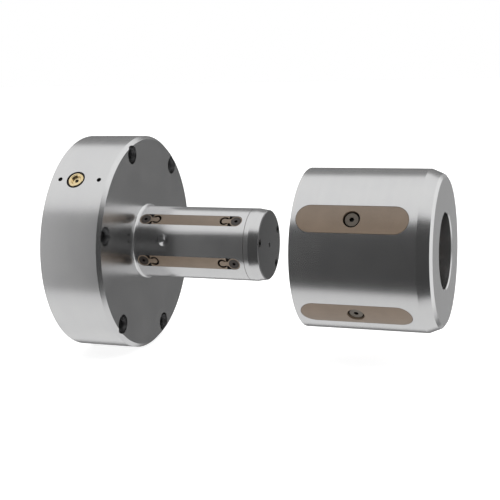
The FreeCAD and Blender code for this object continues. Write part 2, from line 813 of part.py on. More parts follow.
def make_valve_pin():
    """Spring-loaded pin that opens the valve when it is pressed."""
    shoulder = s.flange_radius - s.valve_pocket_depth - 3
    thing = new_body("valve_pin")
    turn_upright(thing, [
        (Size(0), valve_shank_end + 3),
        (Size(1.4), valve_shank_end + 3),
        (Size(1.4), shoulder - 1.4),
        (Size(3.2), shoulder - 1.4),
        (Size(3.2), shoulder - 0.1),
        (Size(1.7), shoulder - 0.1),
        (Size(1.7), s.flange_radius - 0.4),
        (Size(0), s.flange_radius - 0.4),
    ])
    place_radial(thing, s.valve_x, Size(0), s.valve_phase)
    return thing


def coil(label, middle_radius, section_radius, length, turns):
    """A coil spring that stands on its origin, in straight lengths of six-sided wire.

    A true helix with round wire takes hundreds of thousands of triangles, for a spring out of sight.
    """
    radius, wire, height = as_size(middle_radius).value, as_size(section_radius).value, length.value
    count = round(as_size(turns).value * COIL_LENGTHS)
    points = []
    for number in range(count + 1):
        angle = 2 * math.pi * number / COIL_LENGTHS
        rise = wire + (height - 2 * wire) * number / count
        points.append(Vector(radius * math.cos(angle), radius * math.sin(angle), rise))
    along = (points[1] - points[0]).normalize()
    across = along.cross(Vector(0, 0, 1)).normalize()
    upwards = across.cross(along)
    corners = []
    for number in range(WIRE_SIDES + 1):
        angle = 2 * math.pi * (number % WIRE_SIDES) / WIRE_SIDES
        corners.append(points[0] + across * (wire * math.cos(angle)) + upwards * (wire * math.sin(angle)))
    thing = doc.addObject("Part::Feature", label)
    thing.Shape = Part.makePolygon(points).makePipeShell([Part.makePolygon(corners)], True, False, 1)
    thing.Label = label
    return thing


def make_valve_spring():
    """Small spring that closes the valve."""
    shoulder = s.flange_radius - s.valve_pocket_depth - 3
    length = shoulder - 1.4 - valve_shank_end - 0.2
    thing = coil("valve_spring", Size(2.6), Size(0.35), length, Size(4))
    place_radial(thing, s.valve_x, valve_shank_end + 0.1, s.valve_phase)
    return thing


def make_piston():
    """Air piston, with a seal groove and a seat for the return spring."""
    thing = new_body("piston")
    rim = s.cylinder_radius - s.running_gap
    middle = (s.piston_start + piston_end) / 2
    turn_about_axis(thing, [
        (s.piston_start, Size(10)),
        (s.piston_start, rim),
        (middle - 2.5, rim),
        (middle - 2.5, rim - 5),
        (middle + 2.5, rim - 5),
        (middle + 2.5, rim),
        (piston_end, rim),
        (piston_end, s.spring_radius + 3.5),
        (piston_end - s.spring_pocket, s.spring_radius + 3.5),
        (piston_end - s.spring_pocket, s.spring_radius - 3.5),
        (piston_end, s.spring_radius - 3.5),
        (piston_end, Size(10)),
    ])
    return thing


def make_piston_seal():
    """Lip seal in the piston's groove."""
    thing = new_body("piston_seal")
    rim = s.cylinder_radius - s.running_gap
    middle = (s.piston_start + piston_end) / 2
    turn_about_axis(thing, [
        (middle - 2.4, rim - 4.9),
        (middle - 2.4, rim),
        (middle - 1.4, rim),
        (middle, rim - 1.6),
        (middle + 1.4, rim),
        (middle + 2.4, rim),
        (middle + 2.4, rim - 4.9),
    ])
    return thing


def make_drawbar():
    """Shaft with the two cones that lift the keys."""
    thing = new_body("drawbar")
    foot_end = [middle + s.foot_length / 2 for middle in feet_x]
    starts = [end + 2 - s.cone_length for end in foot_end]
    tip = s.cone_radius - s.cone_slope * s.cone_length
    tail_start = nose_plug_start - s.piston_travel - 1
    turn_about_axis(thing, [
        (s.piston_start - 9, Size(0)),
        (s.piston_start - 9, Size(9.9)),
        (piston_end, Size(9.9)),
        (piston_end, s.journal_radius),
        (starts[0], s.journal_radius),
        (starts[0], s.cone_radius),
        (starts[0] + s.cone_length, tip),
        (starts[0] + s.cone_length, s.neck_radius),
        (starts[1], s.neck_radius),
        (starts[1], s.cone_radius),
        (starts[1] + s.cone_length, tip),
        (tail_start, tip),
        (tail_start, s.tail_radius),
        (s.mandrel_length - 2, s.tail_radius),
        (s.mandrel_length - 1, s.tail_radius - 1),
        (s.mandrel_length - 1, Size(0)),
    ])
    return thing


def make_drawbar_nut():
    """Hexagon nut that holds the piston on the drawbar."""
    body = hexagon(30, 8, (0, 0, 0))
    hole = cylinder(9.95, 8)
    thing = named(cut(body, hole), "drawbar_nut")
    place(thing, (s.piston_start - 8, 0, 0), (0, 1, 0), 90)
    return thing


def make_return_spring():
    """Spring that pushes the piston back."""
    room = cylinder_end - piston_end + s.spring_pocket
    thing = coil("return_spring", s.spring_radius, s.spring_wire, room - 0.2, s.spring_turns)
    place(thing, (piston_end - s.spring_pocket + 0.1, 0, 0), (0, 1, 0), 90)
    return thing


def make_key(index):
    """Expanding key: wedge feet below, and a round pocket for a keeper's lobe at each end."""
    thing = new_body(f"key_{index + 1}")
    width = s.slot_width - 2 * s.side_gap
    bottom = s.slot_floor + s.seat_gap
    corners = [(key_start, s.mandrel_radius), (key_start, bottom)]
    for middle in feet_x:
        start, end = middle - s.foot_length / 2, middle + s.foot_length / 2
        low = s.cone_radius - s.cone_slope * (s.cone_length - 2) + s.running_gap
        corners += [(start, bottom), (start, low + s.cone_slope * s.foot_length),
                    (end, low), (end, bottom)]
    corners += [(key_end, bottom), (key_end, s.mandrel_radius)]
    side = new_sketch(thing, "XZ_Plane")
    draw_outline(side, corners)
    blank = extrude(thing, "Pad", side, width)
    blank.Midplane = True

    crown = new_sketch(thing, "YZ_Plane")
    place(crown, (0, 0, key_end + 1), path="AttachmentOffset")
    half, over = width / 2 + 1, s.mandrel_radius + 3
    draw_outline(crown, [(-half, over), (-half, s.crown_edge), (half, s.crown_edge,
                                                               s.mandrel_radius, -1),
                         (half, over)])
    extrude(thing, "Pocket", crown, key_end - key_start + 2)

    mouth = s.keeper_neck + 1
    for screw_x, way in ((key_screw_back, 1), (key_screw_front, -1)):
        lobe_x = screw_x + way * s.lobe_offset
        near_end = key_start - 1 if way > 0 else lobe_x
        far_end = lobe_x if way > 0 else key_end + 1
        for draw, first, last in ((draw_box, near_end, far_end),
                                  (draw_stadium, lobe_x - s.lobe_pocket - 0.01,
                                   lobe_x + s.lobe_pocket + 0.01)):
            drawing = new_sketch(thing)
            place(drawing, (0, 0, over), path="AttachmentOffset")
            draw(drawing, first, last, mouth if draw is draw_box else 2 * s.lobe_pocket)
            extrude(thing, "Pocket", drawing, over - s.lobe_floor)
    place_radial(thing, 0, 0, key_angle(index))
    return thing


def make_key_cushions(index):
    """Elastic springs that push one key back in, between its pockets and the keepers."""
    cushions = []
    for screw_x, way in ((key_screw_back, 1), (key_screw_front, -1)):
        lobe_x = screw_x + way * s.lobe_offset
        height = s.ledge_height - s.lobe_floor - 0.2
        outside = cylinder(s.lobe_radius, height, (lobe_x, 0, s.lobe_floor + 0.1))
        inside = cylinder(s.lobe_radius / 2, height, (lobe_x, 0, s.lobe_floor + 0.1))
        cushions.append(cut(outside, inside))
    thing = group(f"key_springs_{index + 1}", cushions)
    place_radial(thing, 0, 0, key_angle(index))
    return thing


def make_keepers():
    """Keeper plates: a ring under the screw, a neck, and a lobe over the key's spring."""
    keepers = []
    thickness = s.mandrel_radius + 1 - s.ledge_height
    for index in range(KEY_COUNT):
        for screw_x, way in ((key_screw_back, 1), (key_screw_front, -1)):
            lobe_x = screw_x + way * s.lobe_offset
            plan = fuse([
                cylinder(s.keeper_ring, thickness, (screw_x, 0, s.ledge_height)),
                cylinder(s.lobe_radius, thickness, (lobe_x, 0, s.ledge_height)),
                box(s.lobe_offset, s.keeper_neck, thickness,
                    (screw_x if way > 0 else lobe_x, -(s.keeper_neck / 2), s.ledge_height)),
            ])
            crown_radius = s.mandrel_radius - s.keeper_recess
            crowned = common(plan, axis_cylinder(crown_radius, s.slot_start, slot_end - s.slot_start))
            hole = cylinder(2.6, 10, (screw_x, 0, s.ledge_height - 5))
            sink = cone(Size(2.6), s.key_screw_head + 3.6, 6, (screw_x, 0, s.key_screw_sink))
            keeper = cut(crowned, fuse([hole, sink]))
            place_radial(keeper, 0, 0, key_angle(index))
            keepers.append(keeper)
    return group("keepers", keepers)


def make_keeper_screws():
    """Countersunk screws that hold the keepers."""
    screws = []
    for index in range(KEY_COUNT):
        for screw_x in (key_screw_back, key_screw_front):
            screw = flat_screw(s.key_screw_head, 2.45, 11, 3)
            place_radial(screw, screw_x, s.key_screw_sink + s.key_screw_head - 2.5,
                         key_angle(index))
            screws.append(screw)
    return group("keeper_screws", screws)


def make_sleeve_body():
    """Adapter sleeve: a thick tube with five pad pockets and a lead-in taper."""
    thing = new_body("sleeve_body")
    x, length = s.sleeve_start, sleeve_length
    taper = (s.sleeve_radius - s.sleeve_face) / s.sleeve_taper
    mouth = s.neck_fillet + 0.4
    corners = [
        (x, s.sleeve_bore + mouth),
        (x, s.sleeve_radius),
        (x + length - s.sleeve_taper, s.sleeve_radius),
        (x + length - 0.8, s.sleeve_face + taper * 0.8),
        (x + length, s.sleeve_face - 0.8),
        (x + length, s.sleeve_bore + 1),
        (x + length - 1, s.sleeve_bore),
    ]
    groove = s.ring_section + 0.2
    floor = s.sleeve_bore + 2 * s.ring_section
    corners += [
        (ring_places[1] + groove, s.sleeve_bore),
        (ring_places[1] + groove, floor),
        (ring_places[1] - groove, floor),
        (ring_places[1] - groove, s.sleeve_bore),
        (relief_end, s.sleeve_bore),
        (relief_end, s.sleeve_relief),
        (x + s.sleeve_land, s.sleeve_relief),
        (x + s.sleeve_land, s.sleeve_bore),
        (ring_places[0] + groove, s.sleeve_bore),
        (ring_places[0] + groove, floor),
        (ring_places[0] - groove, floor),
        (ring_places[0] - groove, s.sleeve_bore),
        (x + mouth, s.sleeve_bore),
    ]
    turn_about_axis(thing, corners)
    top, angle = s.sleeve_radius + 2, s.sleeve_phase
    cuts = [mill_radially(thing, draw_stadium, x + s.pad_start - s.pad_gap,
                          x + s.pad_start + s.pad_length + s.pad_gap,
                          s.pad_width + 2 * s.pad_gap, top, s.pad_floor, angle)]
    foot_width = s.slot_width + 2 * s.pad_gap
    for start in pad_foot_starts:
        cuts.append(mill_radially(thing, draw_box, start - s.pad_gap,
                                  start + s.pad_foot_length + s.pad_gap, foot_width,
                                  top, s.sleeve_relief - 4, angle))
    cuts.append(drill_radially(thing, pad_middle, top, s.sleeve_relief - 4, 2.5, angle))
    repeat_round(thing, cuts, s.key_count)
    thing.Tip = drill_radially(thing, lock_screw_x, top, s.sleeve_bore - 4, s.lock_screw_radius,
                               s.lock_screw_phase)
    return thing


def make_sleeve_rings():
    """O-rings in the sleeve's bore, which grip the mandrel as the sleeve slides on."""
    middle = s.sleeve_bore - 0.1 + s.ring_section
    return group("sleeve_rings", [ring(middle, s.ring_section, x) for x in ring_places])


def make_lock_screw():
    """Set screw whose cone end fits the seat in the mandrel."""
    screw_radius = s.lock_screw_radius - s.running_gap
    point = cone(Size(1.5), screw_radius, screw_radius - 1.5, (0, 0, 0))
    shank = cylinder(screw_radius, s.lock_screw_length - screw_radius + 1.5,
                     (0, 0, screw_radius - 1.5))
    socket = hexagon(5, 5, (0, 0, s.lock_screw_length - 5))
    thing = named(cut(fuse([point, shank]), socket), "sleeve_lock_screw")
    place_radial(thing, lock_screw_x, s.sleeve_relief + 0.2, s.lock_screw_phase)
    return thing


def make_pad(index):
    """Sleeve pad: a long pad with a round-ended outline and two feet that rest on a key."""
    thing = new_body(f"pad_{index + 1}")
    x = s.sleeve_start + s.pad_start
    underside = s.pad_floor + s.seat_gap
    blank = new_sketch(thing)
    place(blank, (0, 0, underside), path="AttachmentOffset")
    draw_stadium(blank, x, x + s.pad_length, s.pad_width)
    extrude(thing, "Pad", blank, s.sleeve_radius - underside)
    for start in pad_foot_starts:
        foot = new_sketch(thing)
        place(foot, (0, 0, s.sleeve_bore), path="AttachmentOffset")
        draw_box(foot, start, start + s.pad_foot_length, s.slot_width)
        extrude(thing, "Pad", foot, underside + 1 - s.sleeve_bore)
    crown = new_sketch(thing, "YZ_Plane")
    place(crown, (0, 0, x + s.pad_length + 1), path="AttachmentOffset")
    half, over = s.pad_width / 2 + 1, s.sleeve_radius + 3
    draw_outline(crown, [(-half, over), (-half, s.pad_crown_edge),
                         (half, s.pad_crown_edge, s.sleeve_radius, -1), (half, over)])
    extrude(thing, "Pocket", crown, s.pad_length + 2)
    for radius, floor in ((s.pad_bore, s.pad_bore_floor), (s.pad_shoulder + 0.3, s.pad_floor)):
        hole = new_sketch(thing)
        place(hole, (0, 0, over), path="AttachmentOffset")
        draw_circle(hole, pad_middle, 0, radius)
        extrude(thing, "Pocket", hole, over - floor)
    place_radial(thing, 0, 0, pad_angle(index))
    return thing


def make_pad_spring(index):
    """Elastic spring between a pad's counterbore and its screw's head."""
    head_bottom = s.pad_screw_top - s.pad_screw_head_height
    height = head_bottom - s.pad_bore_floor - 0.2
    base = (pad_middle, 0, s.pad_bore_floor + 0.1)
    outside = cylinder(s.pad_bore - 0.5, height, base)
    inside = cylinder(s.pad_shoulder + 0.3, height, base)
    thing = named(cut(outside, inside), f"pad_spring_{index + 1}")
    place_radial(thing, 0, 0, pad_angle(index))
    return thing


def make_pad_screws():
    """Shoulder screws that hold the pads in the sleeve."""
    screws = []
    for index in range(KEY_COUNT):
        shoulder_length = s.pad_screw_top - s.pad_screw_head_height - s.pad_floor
        thread_length = s.pad_floor - s.sleeve_relief - s.seat_gap
        head = cap_screw(s.pad_screw_head, s.pad_screw_head_height, s.pad_shoulder,
                         shoulder_length, 4)
        thread = cylinder(2.45, thread_length,
                          (0, 0, -(s.pad_screw_head_height + shoulder_length + thread_length)))
        screw = fuse([head, thread])
        place_radial(screw, pad_middle, s.pad_screw_top, pad_angle(index))
        screws.append(screw)
    return group("pad_screws", screws)


def check_model(pieces):
    """Stop if an object failed or a piece has no sound shape."""
    for thing in doc.Objects:
        if "Invalid" in thing.State or "Error" in thing.State:
            raise RuntimeError(f"{thing.Label} ({thing.Name}) failed: {thing.State}")
    for piece in pieces:
        if piece.Shape.isNull() or not piece.Shape.isValid():
            raise RuntimeError(f"{piece.Label} has no sound shape")


pieces = [
    make_mandrel(),
    make_rear_cover(),
    make_cover_ring(),
    make_cover_screws(),
    make_guide_bush(),
    make_drawbar_seal(),
    make_front_bush(),
    make_nose_cap(),
    make_nose_screws(),
    make_keepers(),
    make_keeper_screws(),
    make_valve_body(),
    make_valve_seal(),
    make_valve_pin(),
    make_valve_spring(),
    make_piston(),
    make_piston_seal(),
    make_drawbar(),
    make_drawbar_nut(),
    make_return_spring(),
    make_sleeve_rings(),
    make_sleeve_body(),
    make_lock_screw(),
    make_pad_screws(),
]
for number in range(KEY_COUNT):
    pieces += [
        make_key(number),
        make_key_cushions(number),
        make_pad(number),
        make_pad_spring(number),
    ]
doc.recompute()
check_model(pieces)
os.makedirs("parts", exist_ok=True)
for piece in pieces:
    piece.Shape.exportStep(f"parts/{piece.Label}.step")
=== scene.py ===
# %% [markdown]
# # An expanding core chuck with its adapter sleeve
#
# The real object holds paper cores while they are wound. Its flanged mandrel is turned from
# aluminium, five brown keys rise out of it to grip the core, and a thick sleeve with five pads of
# its own slides on for larger cores. The solids come from the CAD model, which this script loads
# as a fixed frame. What it adds is looks: the camera, the studio, the finishes, and a few pieces
# that replace or join the solids where the eye, or the motion, asks for more.

# %% Load the frame
import json
import math

import bmesh
import bpy
from mathutils import Matrix, Vector

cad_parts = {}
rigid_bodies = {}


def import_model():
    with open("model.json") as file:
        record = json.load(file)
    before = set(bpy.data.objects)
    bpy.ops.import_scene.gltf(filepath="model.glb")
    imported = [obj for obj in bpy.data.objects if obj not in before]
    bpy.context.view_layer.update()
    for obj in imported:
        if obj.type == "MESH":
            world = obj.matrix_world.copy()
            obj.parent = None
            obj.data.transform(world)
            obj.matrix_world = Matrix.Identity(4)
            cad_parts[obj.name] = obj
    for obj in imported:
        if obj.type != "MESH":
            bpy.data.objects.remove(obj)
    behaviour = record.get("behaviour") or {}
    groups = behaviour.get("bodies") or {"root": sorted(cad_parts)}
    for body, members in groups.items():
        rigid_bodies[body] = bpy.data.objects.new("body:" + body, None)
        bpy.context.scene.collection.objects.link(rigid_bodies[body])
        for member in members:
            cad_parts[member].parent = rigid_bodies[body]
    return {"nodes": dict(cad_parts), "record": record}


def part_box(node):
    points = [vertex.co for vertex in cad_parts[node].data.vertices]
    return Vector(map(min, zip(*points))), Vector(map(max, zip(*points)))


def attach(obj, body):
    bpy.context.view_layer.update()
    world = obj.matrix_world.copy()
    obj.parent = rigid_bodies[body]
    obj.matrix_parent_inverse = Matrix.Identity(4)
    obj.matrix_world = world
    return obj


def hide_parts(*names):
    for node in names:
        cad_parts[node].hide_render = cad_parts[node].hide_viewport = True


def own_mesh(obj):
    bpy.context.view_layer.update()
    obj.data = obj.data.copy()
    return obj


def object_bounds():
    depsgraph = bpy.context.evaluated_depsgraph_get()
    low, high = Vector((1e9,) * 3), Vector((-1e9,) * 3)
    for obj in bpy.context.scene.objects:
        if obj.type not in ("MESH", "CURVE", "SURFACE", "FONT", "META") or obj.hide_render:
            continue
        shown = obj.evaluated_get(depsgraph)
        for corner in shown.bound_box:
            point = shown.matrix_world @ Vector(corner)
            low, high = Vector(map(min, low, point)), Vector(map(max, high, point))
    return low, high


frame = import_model()
cad_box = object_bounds()
MM = 0.001
print("CAD nodes:", len(frame["nodes"]))

# %% [markdown]
# ## The camera
#
# The photograph is 500 pixels square. A camera can be placed by eye, but then every edge is a
# little off. This one was worked out from points that can be measured both in the photograph and
# on the chuck: the flange's outline, its bolt holes, the key screws and the nose. The optical axis
# passes above the middle of the picture, so the lens is shifted down a little, as a product
# photographer shifts a lens to keep upright lines upright.

# %% Camera
AZIMUTH, ELEVATION, ROLL = math.radians(19.944), math.radians(5.238), math.radians(-1.742)
DISTANCE = 1.02503
TARGET = Vector((0.1706, 0, 0.09053))
PICTURE = 500
SENSOR = 36.0
FOCAL_PIXELS = 1081.12
CENTRE_ROW = 150

back = Vector((math.sin(AZIMUTH) * math.cos(ELEVATION), -math.cos(AZIMUTH) * math.cos(ELEVATION),
               math.sin(ELEVATION)))
level = Vector((math.cos(AZIMUTH), math.sin(AZIMUTH), 0))
upwards = back.cross(level)
right = level * math.cos(ROLL) + upwards * math.sin(ROLL)
top = upwards * math.cos(ROLL) - level * math.sin(ROLL)

camera_data = bpy.data.cameras.new("camera")
camera_data.sensor_width = SENSOR
camera_data.lens = SENSOR * FOCAL_PIXELS / PICTURE
camera_data.shift_y = (CENTRE_ROW - PICTURE / 2) / PICTURE
camera = bpy.data.objects.new("camera", camera_data)
camera.matrix_world = Matrix((right, top, back)).transposed().to_4x4()
camera.location = TARGET + back * DISTANCE
bpy.context.scene.collection.objects.link(camera)
bpy.context.scene.camera = camera
print("camera at", [round(value, 3) for value in camera.location])
print("lens", round(camera_data.lens, 1), "mm")

# %% [markdown]
# ## Maths on shader sockets
#
# A finish is a small program made of nodes, and its sums are easier to read as sums. The class
# below wraps one socket: `wire * 2 + 1` adds the Math nodes, and `node()` adds any other node,
# with its settings first and the values or links of its sockets after.

# %% A wrapper for sockets
class Wire:
    """An output socket that Python can do maths with."""

    def __init__(self, tree, socket=None):
        self.tree = tree
        self.socket = socket

    def node(self, kind, settings=None, inputs=None, output=0):
        """Add a node and give back one of its outputs."""
        made = self.tree.nodes.new(kind)
        for name, value in (settings or {}).items():
            setattr(made, name, value)
        for name, value in (inputs or {}).items():
            if isinstance(value, Wire):
                self.tree.links.new(value.socket, made.inputs[name])
            else:
                made.inputs[name].default_value = value
        return Wire(self.tree, made.outputs[output]) if len(made.outputs) else None

    def maths(self, operation, first, second=0.0):
        return self.node("ShaderNodeMath", {"operation": operation}, {0: first, 1: second})

    def __add__(self, other):
        return self.maths("ADD", self, other)

    __radd__ = __add__

    def __sub__(self, other):
        return self.maths("SUBTRACT", self, other)

    def __rsub__(self, other):
        return self.maths("SUBTRACT", other, self)

    def __mul__(self, other):
        return self.maths("MULTIPLY", self, other)

    __rmul__ = __mul__

    def __abs__(self):
        return self.maths("ABSOLUTE", self)

    def root(self):
        return self.maths("SQRT", self)

    def greater(self, other):
        return self.maths("MAXIMUM", self, other)

    def step(self, start, end):
        """A smooth rise from 0 at start to 1 at end."""
        return self.node("ShaderNodeMapRange", {"interpolation_type": "SMOOTHSTEP"},
                         {"Value": self, "From Min": start, "From Max": end})

    def parts(self):
        """X, Y and Z of a vector, as three wires."""
        split = self.node("ShaderNodeSeparateXYZ", inputs={0: self}).socket.node
        return [Wire(self.tree, socket) for socket in split.outputs]

    def blend(self, first, second):
        """The first colour where this wire is 0, and the second where it is 1."""
        return self.node("ShaderNodeMix", {"data_type": "RGBA"}, {0: self, 6: first, 7: second}, 2)


def grey(value):
    """A grey colour."""
    return (value, value, value, 1)


def darkened(colour, share):
    """A share of a colour."""
    return tuple(value * share for value in colour[:3]) + (1,)


# %% [markdown]
# ## The studio
#
# Bare metal has hardly any colour of its own: it shows the room. In the photograph every cylinder
# has the same bands, bright above and below with a dark one between, so the room is bright
# overhead and close beneath, and dark at the height of the object. Cards and lamps round the
# object could make the bands, but each would light the other finishes as well. Here the room is
# the world, painted by the direction in which a ray leaves: x is to the right, y is away from the
# camera's side, and z is up.
#
# The ceiling and the table come first. Each begins past an edge that slopes, so that both reach
# closer on the left, and the bands run as they do in the photograph.

# %% Ceiling and table
EDGE = 0.04
CEILING_NEAR, CEILING_TILT, CEILING_LEFT = 1.33, 0.7, 0.4
CEILING_FAR, CEILING_RIGHT = 0.95, 0.33
TABLE_NEAR, TABLE_TILT, TABLE_FAR = 1.65, 1.25, 0.9
TABLE_LIGHT = 0.88

world = bpy.data.worlds.new("studio")
bpy.context.scene.world = world
world.use_nodes = True
world.node_tree.nodes.clear()
start = Wire(world.node_tree)
x, y, z = start.node("ShaderNodeTexCoord", output="Generated").parts()
near, far, left = (0 - y).greater(0), y.greater(0), (0 - x).greater(0)

near_edge = near * (x * CEILING_TILT + CEILING_NEAR - left * CEILING_LEFT)
far_edge = far * (CEILING_FAR - x.step(0.0, 0.12) * CEILING_RIGHT)
ceiling = (z - near_edge - far_edge).step(-EDGE, EDGE)
table_edge = near * (x * TABLE_TILT + TABLE_NEAR) + far * TABLE_FAR
table = (0 - z - table_edge).step(-EDGE, EDGE) * TABLE_LIGHT
print("ceiling and table nodes:", len(world.node_tree.nodes))

# %% [markdown]
# Four upright surfaces stand between them. A wall far left lights the flange's rim, and a panel on
# the right, wider above, lights the lead-in edges. The sleeve's face mirrors a mid-grey backdrop,
# and the flange's face a dim wall behind everything.

# %% Walls, panel and backdrop
LEFT_WALL_START, LEFT_WALL_END = (0.485, 0.53), 0.25
PANEL_EDGE, PANEL_START, PANEL_HEIGHT, PANEL_LIGHT = (0.60, 0.70), -0.14, 0.85, 1.12
WIDER_ABOVE, WIDENING = (0.10, 0.22), 0.38
BACKDROP_START, BACKDROP_LEFT, BACKDROP_RIGHT = (0.5, 0.8), (-0.06, 0.04), 0.25
BACKDROP_TOP, BACKDROP_LIGHT = 0.25, 0.53
FAR_WALL_START, FAR_WALL_LIGHT = (0.0, 0.4), 0.14
LIGHTER_ABOVE, LIGHTENING = (0.10, 0.25), 0.12

left_wall = left.step(*LEFT_WALL_START) * (LEFT_WALL_END - y).step(-0.1, 0.1)
widening = z.step(*WIDER_ABOVE) * WIDENING
right_panel = (x + widening).step(*PANEL_EDGE) * (y - PANEL_START).step(-EDGE, EDGE)
right_panel = right_panel * (PANEL_HEIGHT - abs(z)).step(-0.05, 0.05) * PANEL_LIGHT
sides = x.step(*BACKDROP_LEFT) * (BACKDROP_RIGHT - x).step(-0.03, 0.03)
backdrop = far.step(*BACKDROP_START) * sides
backdrop = backdrop * (BACKDROP_TOP - z).step(0, 0.2) * BACKDROP_LIGHT
lightening = z.step(*LIGHTER_ABOVE) * LIGHTENING
far_wall = far.step(*FAR_WALL_START) * (lightening + FAR_WALL_LIGHT)
print("with the walls:", len(world.node_tree.nodes))

# %% [markdown]
# In each direction the brightest surface counts, and nothing is darker than the room itself. A
# camera ray sees plain white instead, which gives the white background without more light.

# %% World
ROOM_DARK = 0.068

room = ceiling
for surface in (table, left_wall, right_panel, backdrop, far_wall, ROOM_DARK):
    room = room.greater(surface)
camera_ray = start.node("ShaderNodeLightPath", output="Is Camera Ray")
radiance = camera_ray * (1 - room) + room
background = start.node("ShaderNodeBackground", inputs={"Color": grey(1), "Strength": radiance})
start.node("ShaderNodeOutputWorld", inputs={"Surface": background})
print("world nodes:", len(world.node_tree.nodes))

# %% [markdown]
# The floor is a large pale sheet under the flange. It keeps the soft shadow, and a glow for the
# camera lifts it to white. A weaker glow for all other rays lights the object from below, as a
# white table does. Reflections don't see it: the world's table stands for it there, so that the
# dark band in the metal stays where the photograph has it.

# %% Flat sheets and empty finishes
def flat_sheet(name, corners, height):
    """A flat rectangle that isn't part of the object."""
    mesh = bpy.data.meshes.new(name)
    shape = bmesh.new()
    (x0, y0), (x1, y1) = corners
    points = [shape.verts.new((x, y, height)) for x, y in ((x0, y0), (x1, y0), (x1, y1), (x0, y1))]
    shape.faces.new(points)
    shape.to_mesh(mesh)
    shape.free()
    sheet = bpy.data.objects.new(name, mesh)
    bpy.context.scene.collection.objects.link(sheet)
    return sheet


def new_finish(name):
    """An empty material, with the wire that its nodes start from."""
    material = bpy.data.materials.new(f"{name}_finish")
    material.use_nodes = True
    material.node_tree.nodes.clear()
    return material, Wire(material.node_tree)


# %% Floor
FLOOR_HEIGHT = cad_box[0].z - 0.0002
FLOOR_CORNERS = ((-6, -6), (6, 8))
FLOOR_COLOUR, FLOOR_GLOW, FLOOR_BOUNCE = 0.8, 0.68, 0.4

floor = flat_sheet("floor", FLOOR_CORNERS, FLOOR_HEIGHT)
floor_finish, start = new_finish("floor")
seen = start.node("ShaderNodeLightPath", output="Is Camera Ray")
for ray in ("Is Glossy Ray", "Is Transmission Ray"):
    seen = seen.greater(start.node("ShaderNodeLightPath", output=ray))
paper = start.node("ShaderNodeBsdfDiffuse", inputs={"Color": grey(FLOOR_COLOUR)})
strength = seen * (FLOOR_GLOW - FLOOR_BOUNCE) + FLOOR_BOUNCE
glow = start.node("ShaderNodeEmission", inputs={"Color": grey(1), "Strength": strength})
both = start.node("ShaderNodeAddShader", inputs={0: paper, 1: glow})
start.node("ShaderNodeOutputMaterial", inputs={"Surface": both})
floor.data.materials.append(floor_finish)
floor.visible_glossy = False
print("floor at z", round(FLOOR_HEIGHT, 4))

# %% [markdown]
# A small card stands beside the camera, low on the right, as photographers use to lift a dark
# patch. Only reflections see it: the flange's face mirrors the mandrel, which mirrors the card.
# It is a real sheet and no part of the world, because its place counts, and not its direction
# alone.

# %% Reflector card
CARD_CORNERS = ((0.42, -0.36), (0.66, 0.12))
CARD_DEPTH = -0.95
CARD_GLOW = 0.22

card = flat_sheet("reflector", CARD_CORNERS, 0)
card.data.transform(Matrix.Rotation(math.pi / 2, 4, "X"))
card.data.transform(Matrix.Translation((0, CARD_DEPTH, 0)))
card_finish, start = new_finish("reflector")
shine = start.node("ShaderNodeEmission", inputs={"Color": grey(1), "Strength": CARD_GLOW})
start.node("ShaderNodeOutputMaterial", inputs={"Surface": shine})
card.data.materials.append(card_finish)
card.visible_camera = card.visible_diffuse = card.visible_shadow = False
print("card at y", CARD_DEPTH)

# %% [markdown]
# Two lamps add the plain light that rubber and the hard coat need: a broad one overhead, and a
# stronger one from the camera's side. The metal doesn't mirror them, because the world already
# holds all that it shows.

# %% Lamps
OVERHEAD_POWER, OVERHEAD_SIZE = 3, 1.4
FRONT_POWER, FRONT_SIZE = 9, 1.0


def add_lamp(name, place, aim, size, power):
    """A square lamp that shines from its place towards its aim."""
    data = bpy.data.lights.new(name, "AREA")
    data.size = size
    data.energy = power
    lamp = bpy.data.objects.new(name, data)
    lamp.location = place
    lamp.rotation_euler = (Vector(aim) - Vector(place)).to_track_quat("-Z", "Y").to_euler()
    bpy.context.scene.collection.objects.link(lamp)
    lamp.visible_glossy = False
    print(name, power, "W")


add_lamp("overhead_lamp", (0.1, -0.4, 1.6), (0.17, 0, 0), OVERHEAD_SIZE, OVERHEAD_POWER)
add_lamp("front_lamp", (0.6, -1.5, 0.2), (0.17, 0, -0.02), FRONT_SIZE, FRONT_POWER)

# %% [markdown]
# ## The finishes
#
# Turned aluminium carries fine rings from the lathe. They follow x on a cylinder and the distance
# from the axis on a face, so the pattern chooses by the direction that the surface faces. The
# rings are too fine to see one by one, but they break up the reflection. Noise along one line
# makes them at any scale and on every piece, where a picture of brushed metal would have to be
# stretched over each.

# %% Patterns of the finishes
AXIS_SHARE = 0.7


def object_parts(start):
    """X, Y and Z of the place on the object, in metres."""
    return start.node("ShaderNodeTexCoord", output="Object").parts()


def ring_place(start):
    """Where the lathe's tool was: x on a cylinder, the distance from the axis on a face."""
    x, y, z = object_parts(start)
    along_axis = start.node("ShaderNodeTexCoord", output="Normal").parts()[0]
    facing = abs(along_axis).step(AXIS_SHARE - 0.05, AXIS_SHARE + 0.05)
    return x * (1 - facing) + (y * y + z * z).root() * facing, facing


def rings(start, place, pitch, detail=2.0):
    """Noise along one line, so that it makes rings of about this pitch in metres."""
    return start.node("ShaderNodeTexNoise", {"noise_dimensions": "1D"},
                      {"W": place, "Scale": 1 / pitch, "Detail": detail})


def cloud(start, size, detail=3.0):
    """Soft noise in all directions, of about this size in metres."""
    place = start.node("ShaderNodeTexCoord", output="Object")
    return start.node("ShaderNodeTexNoise", {},
                      {"Vector": place, "Scale": 1 / size, "Detail": detail})


